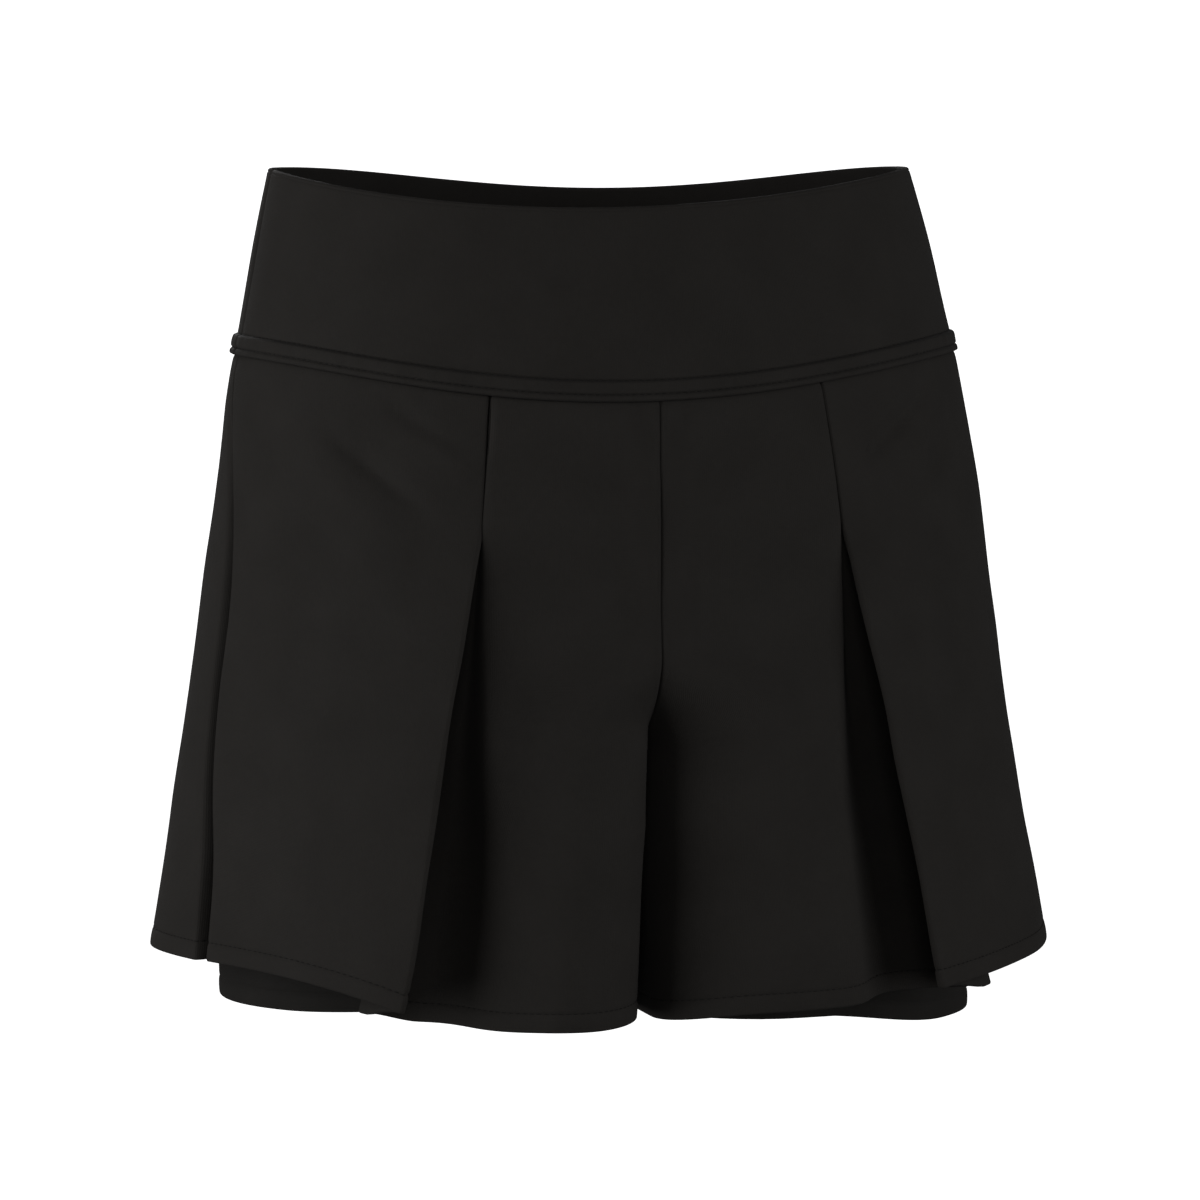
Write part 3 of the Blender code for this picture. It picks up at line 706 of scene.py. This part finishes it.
FRONT_FOLDS = {
    RIGHT: (
        Fold(-44, 92, -29, 113, 3.0, -2.6),
        Fold(-40, 96, -28, 119, 4.0, 1.2),
        Fold(-56, 103, -35, 136, 3.8, -2.8),
        Fold(-60, 114, -38, 148, 6.0, 1.5),
        Fold(-66, 128, -46, 158, 6.0, -0.7),
        Fold(-74, 150, -70, 300, 14.0, 0.9),
        Fold(-52, 190, -46, 320, 18.0, 0.8),
        Fold(-14, 104, -21, 116, 5.0, -0.5),
        Fold(-3, 158, -6, 235, 6.0, -1.2),
        Fold(-13, 195, -13, 430, 11.5, 6.4),
    ),
    LEFT: (
        Fold(54, 88, 34, 116, 3.4, -2.8),
        Fold(60, 96, 38, 126, 4.2, 1.3),
        Fold(62, 104, 42, 138, 4.2, -2.1),
        Fold(62, 180, 66, 310, 16.0, 0.8),
        Fold(6, 150, 9, 220, 7.0, -0.7),
        Fold(19, 220, 17, 400, 14.0, 1.6),
    ),
}
fronts = {}
for side in (RIGHT, LEFT):
    tops = seam_tops(side, FRONT, front_path)
    piece, face, normal = hemmed_cloth(
        f"front_{WORD[side]}_cloth", side, FRONT, front_path, tops, front_hem(side),
        FRONT_FOLDS[side], 3.7 + side, jersey,
    )
    cut = measured_cut(face)
    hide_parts(f"front_panel_{WORD[side]}")
    fronts[side] = (face, normal)

# ------------------------------------------------------------
# The outer backs: plain pieces of the same jersey, joined at the centre back seam, which rise out
# of the side seams' valleys into one smooth round back.
# ------------------------------------------------------------
BACK_COLUMNS = {"crotch": 10, "corner": 14, "centre": 48, "valley": 20}
VALLEY_LIFT = 0.5  # how far the hem rises in the side seam's valley
BACK_FOLDS = {
    RIGHT: (
        Fold(-70, 96, -40, 128, 9.0, -1.3),
        Fold(-16, 200, -34, 262, 12.0, 1.6),
        Fold(-44, 190, -50, 322, 16.0, 1.4),
        Fold(-66, 170, -70, 320, 12.0, -1.2),
        Fold(-8, 170, -14, 232, 8.0, -1.2),
    ),
    LEFT: (
        Fold(64, 94, 38, 130, 9.0, -1.2),
        Fold(14, 196, 30, 256, 12.0, 1.5),
        Fold(40, 200, 46, 322, 18.0, 1.5),
        Fold(62, 180, 64, 320, 13.0, -1.3),
        Fold(7, 168, 12, 230, 8.0, -1.1),
    ),
}


def back_path(side, drop):
    """One outer back's section."""
    point, _ = section_face(OUTER, BACK, drop, side)
    fork = OUTER_FORK[side, BACK]
    run, breaks = fork_run(point, fork, drop, 180 - valley_end(side, drop))
    valley = valley_run(side, BACK, drop)
    columns = [fork_columns(run, breaks, BACK_COLUMNS)]
    columns += [even(valley, BACK_COLUMNS["valley"]), valley[-1:]]
    return np.concatenate(columns)


def back_hem(side):
    hem = OUTER_HEM[side]
    return stretches(
        BACK_COLUMNS,
        {
            "crotch": (hem.inseam, hem.inseam),
            "corner": (hem.inseam, hem.back),
            "centre": (hem.back, hem.side + VALLEY_LIFT),
            "valley": (hem.side + VALLEY_LIFT, hem.side),
        },
    )


backs = {}
for side in (RIGHT, LEFT):
    tops = seam_tops(side, BACK, back_path)
    piece, face, normal = hemmed_cloth(
        f"back_{WORD[side]}_cloth", side, BACK, back_path, tops, back_hem(side),
        BACK_FOLDS[side], 8.3 + side, jersey,
    )
    cut = measured_cut(face)
    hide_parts(f"back_panel_{WORD[side]}")
    backs[side] = (face, normal)

# ------------------------------------------------------------
# The inner shorts: one close-fitting piece of thinner, slightly shinier knit round each leg, sewn
# into the waist seam and seamed at the centre front, the centre back and the inseam.
# ------------------------------------------------------------
INNER = (
    Section(80, 147.3, 151.0, 104.0, 108.0),
    Section(100, 147.8, 153.0, 104.0, 111.0),
    Section(140, 148.5, 158.0, 105.5, 116.0),
    Section(181, 150.5, 162.0, 109.0, 118.5),
    Section(225, 153.0, 166.0, 107.0, 115.0),
    Section(267, 154.0, 168.0, 100.0, 107.0),
    Section(307, 153.5, 168.5, 93.0, 99.0),
    Section(360, 152.5, 168.4, 88.0, 92.0),
)
INNER_EASE = 38.0
INNER_FORK = {
    FRONT: Fork(196.0, 254.0, 30.0, 58.0, 10.0, 25.0, 3.5),
    BACK: Fork(208.0, 254.0, 26.0, 60.0, 10.0, 25.0, 3.5),
}
LAYERS_THICK = 3.8
PLEAT_THICK = 3.8
PLEAT_ZONE = (22.0, 42.0)
ZONE_FADE = 8.0
InnerHem = namedtuple("InnerHem", "front side back")
INNER_HEM = {RIGHT: InnerHem(338.9, 341.8, 343.2), LEFT: InnerHem(346.8, 355.7, 350.2)}
HEM_TURNS_FROM, HEM_TURNS_OVER = 0.3, 0.5  # shares of the way from the side to a centre seam
INNER_COLUMNS = {"crotch": 8, "corner": 12, "round": 44}
INNER_BLACK = (0.0056, 0.0052, 0.0047, 1.0)
INNER_FADED = (0.0072, 0.0067, 0.0061, 1.0)
INNER_SLEEK = 0.4  # it hangs smoother than the outer cloth
inner_knit = knit(
    "black_inner_jersey", INNER_BLACK, INNER_FADED, roughness=0.75, sheen=0.01, relief=0.3
)


def pleat_layers(facing, angle):
    """1 where the pleat lies behind the waist seam, 0 elsewhere."""
    if facing == BACK:
        return np.zeros_like(angle, dtype=float)
    near, far = PLEAT_ZONE
    rising = np.clip((np.abs(angle) - near) / ZONE_FADE + 1, 0, 1)
    falling = np.clip((far - np.abs(angle)) / ZONE_FADE + 1, 0, 1)
    return rising**2 * (3 - 2 * rising) * falling**2 * (3 - 2 * falling)


def inner_path(side, drop):
    """One inner leg's section, from its front seam round the side to its back seam."""
    halves = []
    for facing in (FRONT, BACK):
        body, _ = section_face(INNER, facing, drop, side)
        shell, _ = section_face(OUTER, facing, drop, side)

        def point(angle, out, body=body, shell=shell, facing=facing):
            line = SEAM[facing]
            cosine = np.clip(np.cos(np.radians(side * angle + facing * line.turn)), 0, 1)
            below = drop - line.drop - line.dip * cosine**line.sharpness
            thick = LAYERS_THICK - WALL + PLEAT_THICK * pleat_layers(facing, angle)
            share = np.clip(below / INNER_EASE, 0, 1)
            share = np.asarray(share * share * (3 - 2 * share))[..., None]
            return mix(shell(angle, out - thick), body(angle, out), share)

        run, breaks = fork_run(point, INNER_FORK[facing], drop, 90)
        halves.append(np.concatenate([fork_columns(run, breaks, INNER_COLUMNS), run[-1:]]))
    front, back = halves
    return np.concatenate([front, back[-2::-1] * np.array([1, -1])])


def inner_hem(side):
    hem = INNER_HEM[side]
    half = sum(INNER_COLUMNS.values())
    drops = []
    for column in range(2 * half + 1):
        share = ease((abs(column - half) / half - HEM_TURNS_FROM) / HEM_TURNS_OVER)
        drops.append(mix(hem.side, hem.front if column < half else hem.back, share))
    return np.array(drops)


INNER_FOLDS = {
    RIGHT: (Fold(-60, 300, -40, 335, 8.0, 0.5),),
    LEFT: (Fold(60, 300, 40, 345, 8.0, 0.5),),
}
for side in (RIGHT, LEFT):
    tops = seam_tops(side, FRONT, inner_path)
    piece, face, normal = hemmed_cloth(
        f"inner_{WORD[side]}_cloth", side, FRONT, inner_path, tops, inner_hem(side),
        INNER_FOLDS[side], 12.9 + side, inner_knit, INNER_SLEEK,
    )
    cut = measured_cut(face)
    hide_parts(f"inner_leg_{WORD[side]}")

# ------------------------------------------------------------
# The waistband: a front and a back of firm double knit, joined at the sides, folded over at the
# top edge. Its lower edge is turned over the waist seam in a raised strip between two stitch rows.
# ------------------------------------------------------------
BAND_WALL = 2.4
EDGE = {FRONT: WaistLine(0.0, 14.8, -11.0, 2.0), BACK: WaistLine(0.0, 10.0, -12.0, 3.6)}
MM_PER_SIDE_DEGREE = 1.9
BAND_COLUMNS = 150
BAND_MIDDLE_ROWS = 46
BAND_TOP_ROWS = (0.0, 0.12, 0.4, 0.8, 1.15, 1.45, 1.75, 2.1, 2.8, 4.0)
BAND_LOW_ROWS = (
    10.6, 9.6, 9.1, 8.8, 8.55, 8.3, 8.05, 7.7, 7.2, 6.4, 5.6, 4.8, 4.2,
    3.7, 3.4, 3.15, 2.9, 2.65, 2.4, 2.0, 1.5, 1.0, 0.6, 0.3, 0.1, 0.0,
)
BAND_WANDER, BAND_WANDER_SIZE = 0.9, 55.0
STITCH_ROWS = (8.4, 2.9)  # above the waist seam
ROW_DIP, ROW_DIP_WIDTH = 0.6, 0.4
STRIP_PROUD, STRIP_STEP = 1.5, 0.8
STRIP_CROWN, LIP_CROWN = 0.3, 0.25
PUCKER_SIZE, PUCKER_SLANT = 2.6, np.array([1, 1, 0.15])
PUCKER_BETWEEN, PUCKER_LIP, PUCKER_ABOVE, PUCKER_REACH = 0.22, 0.15, 0.35, 2.5
TOP_ROUND = 1.2
LOW_ROUND, LOW_ROUND_LENGTH = 1.1, 0.9
TURNED_LINE, TURNED_DIP = 1.45, 0.3  # the line at the top edge where the band is folded over
SIDE_GROOVE, SIDE_GROOVE_WIDTH = 0.5, 1.2
SIDE_PINCH, PINCH_DROP, PINCH_LENGTH = 0.9, 12.0, 10.0
BAND_BLACK = (0.0082, 0.0075, 0.0068, 1.0)
BAND_FADED = (0.0098, 0.0090, 0.0082, 1.0)

band_knit = knit(
    "black_double_knit", BAND_BLACK, BAND_FADED, roughness=0.8, sheen=0.012, relief=0.3
)


def round_off(distance, length, depth):
    """How far a rounded edge falls back, at distances from it."""
    return depth * (1 - np.sqrt(1 - (1 - np.clip(distance / length, 0, 1)) ** 2))


def band_face(facing):
    """The band's outer and inner faces, as grids of points, and its outward normals."""
    angles = np.linspace(-90, 90, BAND_COLUMNS + 1)
    angles[[0, -1]] *= 1 - SEAM_GAP / 2 / MM_PER_SIDE_DEGREE / 90
    edge = np.array([waist_drop(EDGE, facing, angle) for angle in angles])
    seam = np.array([waist_drop(SEAM, facing, angle) for angle in angles])
    middle = np.linspace(0, 1, BAND_MIDDLE_ROWS)[1:-1]
    rows = [edge + d for d in BAND_TOP_ROWS]
    rows += [mix(edge + BAND_TOP_ROWS[-1], seam - BAND_LOW_ROWS[0], share) for share in middle]
    rows += [seam - d for d in BAND_LOW_ROWS]
    drops = np.array(rows)
    levels = np.arange(0, drops.max() + LEVEL, LEVEL)

    def at_drops(table, key):
        return np.interp(drops, levels, [read(table, key, level) for level in levels])

    half_width = np.where(angles > 0, at_drops(OUTER, "left"), at_drops(OUTER, "right"))
    depth = at_drops(OUTER, "front" if facing == FRONT else "back")
    lean = at_drops(LEAN, "centre")
    turned = np.radians(angles)
    across, forward = half_width * np.sin(turned), depth * np.cos(turned)
    points = np.stack([lean + across, facing * forward, -drops], axis=-1)
    slant = [across / half_width**2, facing * forward / depth**2, np.zeros_like(drops)]
    slant = np.stack(slant, axis=-1)
    normal = slant / np.linalg.norm(slant, axis=-1, keepdims=True)

    below_edge, above_seam = drops - edge, seam - drops
    along = np.swapaxes(run_lengths(np.swapaxes(points, 0, 1)), 0, 1)
    from_side = np.minimum(along, along[:, -1:] - along)
    wander = unevenness(points, BAND_WANDER_SIZE, 21.0 + facing)
    wander *= BAND_WANDER * np.clip(above_seam / 25, 0, 1) * np.clip(below_edge / 10, 0.25, 1)
    strip = np.clip((STITCH_ROWS[0] + 0.3 - above_seam) / STRIP_STEP, 0, 1)
    strip = strip * strip * (3 - 2 * strip) * STRIP_PROUD
    between = np.clip((above_seam - STITCH_ROWS[1]) / (STITCH_ROWS[0] - STITCH_ROWS[1]), 0, 1)
    between = np.sin(between * math.pi)
    lip = np.sin(np.clip(above_seam / STITCH_ROWS[1], 0, 1) * math.pi)
    rows_dip = sum(np.exp(-(((above_seam - row) / ROW_DIP_WIDTH) ** 2)) for row in STITCH_ROWS)
    above_strip = np.exp(-np.clip(above_seam - STITCH_ROWS[0], 0, 99) / PUCKER_REACH)
    gathered = PUCKER_BETWEEN * between + PUCKER_LIP * lip + PUCKER_ABOVE * above_strip
    gathered *= unevenness(points * PUCKER_SLANT, PUCKER_SIZE, 31.0 + facing)
    top_edge = round_off(below_edge, TOP_ROUND, TOP_ROUND)
    low_edge = round_off(above_seam, LOW_ROUND_LENGTH, LOW_ROUND)
    turned_line = TURNED_DIP * np.exp(-(((below_edge - TURNED_LINE) / 0.3) ** 2))
    groove = SIDE_GROOVE + SIDE_PINCH * np.exp(-(((below_edge - PINCH_DROP) / PINCH_LENGTH) ** 2))
    groove = groove * np.exp(-((from_side / SIDE_GROOVE_WIDTH) ** 2))
    raised = wander + strip + STRIP_CROWN * between + LIP_CROWN * lip + gathered
    out = raised - ROW_DIP * rows_dip - top_edge - low_edge - turned_line - groove
    layers = LAYERS_THICK + PLEAT_THICK * pleat_layers(facing, angles)
    folded = np.clip((STITCH_ROWS[0] - above_seam) / 3, 0, 1)
    inward = mix(BAND_WALL, layers, folded) - top_edge
    return points + normal * out[..., None], points - normal * inward[..., None], normal


bands = {}
for facing, word in ((FRONT, "front"), (BACK, "back")):
    outside, inside, normal = band_face(facing)
    piece = sew_shell(f"band_{word}_cloth", outside, inside, band_knit)
    cut = measured_cut(outside)
    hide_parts(f"waistband_{word}")
    bands[facing] = (outside, normal)

# ------------------------------------------------------------
# The topstitching: black polyester thread, lying in short flat stitches. Two rows run along the
# waist seam's raised strip and one row along each outer hem, through the turned cloth.
# ------------------------------------------------------------
THREAD_BLACK = (0.0042, 0.0040, 0.0038, 1.0)
THREAD_WIDTH, THREAD_FLAT = 0.42, 0.8
STITCH_LENGTH = 2.3
STITCH_PITCH = 3.0
THREAD_BOW = 0.12
thread = bpy.data.materials.new("black_thread")
thread.use_nodes = True
thread_shader = thread.node_tree.nodes["Principled BSDF"]
thread_shader.inputs["Base Color"].default_value = THREAD_BLACK
thread_shader.inputs["Specular IOR Level"].default_value = 0.04
thread_shader.inputs["Roughness"].default_value = 0.6
thread_twist = thread.node_tree.nodes.new("ShaderNodeTexNoise")
thread_twist.inputs["Scale"].default_value = 2600.0
thread_bump = thread.node_tree.nodes.new("ShaderNodeBump")
thread_bump.inputs["Strength"].default_value = 0.4
thread_bump.inputs["Distance"].default_value = 0.0001
thread_place = thread.node_tree.nodes.new("ShaderNodeTexCoord")
thread.node_tree.links.new(thread_place.outputs["Object"], thread_twist.inputs["Vector"])
thread.node_tree.links.new(thread_twist.outputs["Fac"], thread_bump.inputs["Height"])
thread.node_tree.links.new(thread_bump.outputs["Normal"], thread_shader.inputs["Normal"])


def line_on(face, normal, distances, wanted):
    """The line on a face where each column's distance reaches the wanted one, and its normals."""
    line, out = [], []
    for column in range(face.shape[1]):
        order = np.argsort(distances[:, column])
        stops = distances[order, column]
        line.append([np.interp(wanted, stops, face[order, column, axis]) for axis in range(3)])
        out.append([np.interp(wanted, stops, normal[order, column, axis]) for axis in range(3)])
    return np.array(line), np.array(out)


def stitch_row(name, rows):
    """One piece of many stitches, laid along lines on the cloth with their normals."""
    sewn = bmesh.new()
    bead = bpy.data.meshes.new(name)
    for line, out in rows:
        lengths = run_lengths(line)
        for stop in np.arange(STITCH_PITCH / 2, lengths[-1] - STITCH_PITCH / 2, STITCH_PITCH):
            start, middle, end = (
                Vector([np.interp(at, lengths, line[:, axis]) for axis in range(3)])
                for at in (stop - STITCH_LENGTH / 2, stop, stop + STITCH_LENGTH / 2)
            )
            up = Vector([np.interp(stop, lengths, out[:, axis]) for axis in range(3)])
            along = (end - start).normalized()
            aside = up.cross(along).normalized()
            up = along.cross(aside)
            stitch = bmesh.new()
            bmesh.ops.create_uvsphere(stitch, u_segments=6, v_segments=5, radius=0.5)
            for vertex in stitch.verts:
                x, y, z = vertex.co
                bow = THREAD_BOW * (1 - (2 * z) ** 2)
                place = middle + along * (z * STITCH_LENGTH) + aside * (x * THREAD_WIDTH)
                vertex.co = (place + up * (y * THREAD_WIDTH * THREAD_FLAT + bow)) * MM
            stitch.to_mesh(bead)
            stitch.free()
            sewn.from_mesh(bead)
    bmesh.ops.recalc_face_normals(sewn, faces=sewn.faces[:])
    sewn.to_mesh(bead)
    sewn.free()
    bead.shade_smooth()
    bead.materials.append(thread)
    piece = bpy.data.objects.new(name, bead)
    bpy.context.scene.collection.objects.link(piece)
    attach(piece, "root")
    return piece


for facing, word in ((FRONT, "front"), (BACK, "back")):
    face, normal = bands[facing]
    above_seam = face[..., 2] - face[-1:, :, 2]
    rows = [line_on(face, normal, above_seam, row) for row in STITCH_ROWS]
    stitch_row(f"waist_stitching_{word}", rows)

for side in (RIGHT, LEFT):
    rows = []
    for face, normal in (fronts[side], backs[side]):
        above_hem = face[..., 2] - face[-1:, :, 2]
        rows.append(line_on(face, normal, above_hem, HEM_DEPTH))
    stitch_row(f"hem_stitching_{WORD[side]}", rows)

# ------------------------------------------------------------
# The studio: white paper all round, bent up from the floor and seen by the camera alone, wide soft
# lights at the left, at the right and behind, and a smaller one in front. The camera stands a
# little above the waist, to the wearer's right of the middle.
# ------------------------------------------------------------
AZIMUTH = math.radians(-14.5)
DISTANCE = 2.4
CAMERA_HEIGHT = 0.029
PITCH = math.radians(4.99)
LENS = 172.8
AIM_ASIDE = 0.0021

camera_data = bpy.data.cameras.new("camera")
camera_data.lens = LENS
camera_data.sensor_width = 36.0
camera = bpy.data.objects.new("camera", camera_data)
camera.location = (math.sin(AZIMUTH) * DISTANCE, -math.cos(AZIMUTH) * DISTANCE, CAMERA_HEIGHT)
camera.rotation_euler = (math.radians(90) - PITCH, 0.0, AZIMUTH - AIM_ASIDE / DISTANCE)
bpy.context.scene.collection.objects.link(camera)
bpy.context.scene.camera = camera

FLOOR = -0.85
COVE_RADIUS, COVE_BEND, COVE_HEIGHT = 3.4, 1.2, 2.6
BEND_STEPS, ROUND_STEPS = 12, 72
paper = bpy.data.materials.new("white_paper")
paper.use_nodes = True
paper_shader = paper.node_tree.nodes["Principled BSDF"]
paper_shader.inputs["Base Color"].default_value = (0.9, 0.9, 0.9, 1)
paper_shader.inputs["Roughness"].default_value = 0.9
paper_shader.inputs["Emission Color"].default_value = (1, 1, 1, 1)
paper_shader.inputs["Emission Strength"].default_value = 1.0

sweep = bmesh.new()
profile = [sweep.verts.new((0.0, 0.0, FLOOR)), sweep.verts.new((COVE_RADIUS, 0.0, FLOOR))]
for step in range(1, BEND_STEPS + 1):
    turn = math.radians(90 * step / BEND_STEPS)
    out, up = COVE_BEND * math.sin(turn), COVE_BEND * (1 - math.cos(turn))
    profile.append(sweep.verts.new((COVE_RADIUS + out, 0.0, FLOOR + up)))
profile.append(sweep.verts.new((COVE_RADIUS + COVE_BEND, 0.0, COVE_HEIGHT)))
for low, high in zip(profile, profile[1:]):
    sweep.edges.new((low, high))
bmesh.ops.spin(
    sweep, geom=sweep.verts[:] + sweep.edges[:], cent=(0, 0, 0), axis=(0, 0, 1), dvec=(0, 0, 0),
    angle=math.radians(360), steps=ROUND_STEPS, use_merge=True,
)
bmesh.ops.remove_doubles(sweep, verts=sweep.verts[:], dist=0.0001)
bmesh.ops.recalc_face_normals(sweep, faces=sweep.faces[:])
bmesh.ops.reverse_faces(sweep, faces=sweep.faces[:])
cove_mesh = bpy.data.meshes.new("cove")
sweep.to_mesh(cove_mesh)
sweep.free()
cove_mesh.shade_smooth()
cove_mesh.materials.append(paper)
cove = bpy.data.objects.new("cove", cove_mesh)
bpy.context.scene.collection.objects.link(cove)
cove.visible_diffuse = cove.visible_glossy = cove.visible_shadow = False

WORLD_LIGHT = 0.1
AIM = Vector((0, 0, -0.18))  # the middle of the shorts
world = bpy.data.worlds.new("studio")
world.use_nodes = True
world.node_tree.nodes["Background"].inputs["Color"].default_value = (1, 1, 1, 1)
world.node_tree.nodes["Background"].inputs["Strength"].default_value = WORLD_LIGHT
bpy.context.scene.world = world


def soft_light(name, azimuth, elevation, distance, size, power):
    """A square softbox, aimed at the shorts. An azimuth of 0 is straight in front of them."""
    data = bpy.data.lights.new(name, "AREA")
    data.size = size
    data.energy = power
    light = bpy.data.objects.new(name, data)
    a, e = math.radians(azimuth), math.radians(elevation)
    away = Vector((math.sin(a) * math.cos(e), -math.cos(a) * math.cos(e), math.sin(e)))
    light.location = away * distance + AIM
    light.rotation_euler = away.to_track_quat("Z", "Y").to_euler()
    light.visible_camera = False
    bpy.context.scene.collection.objects.link(light)


soft_light("left_softbox", -82, 2, 2.0, 1.8, 61.0)
soft_light("right_softbox", 50, 4, 2.0, 1.4, 34.0)
soft_light("front_fill", -12, 14, 2.4, 1.0, 17.0)
soft_light("back_softbox", 180, 30, 2.4, 1.2, 24.0)

bpy.context.scene.view_settings.view_transform = "Standard"
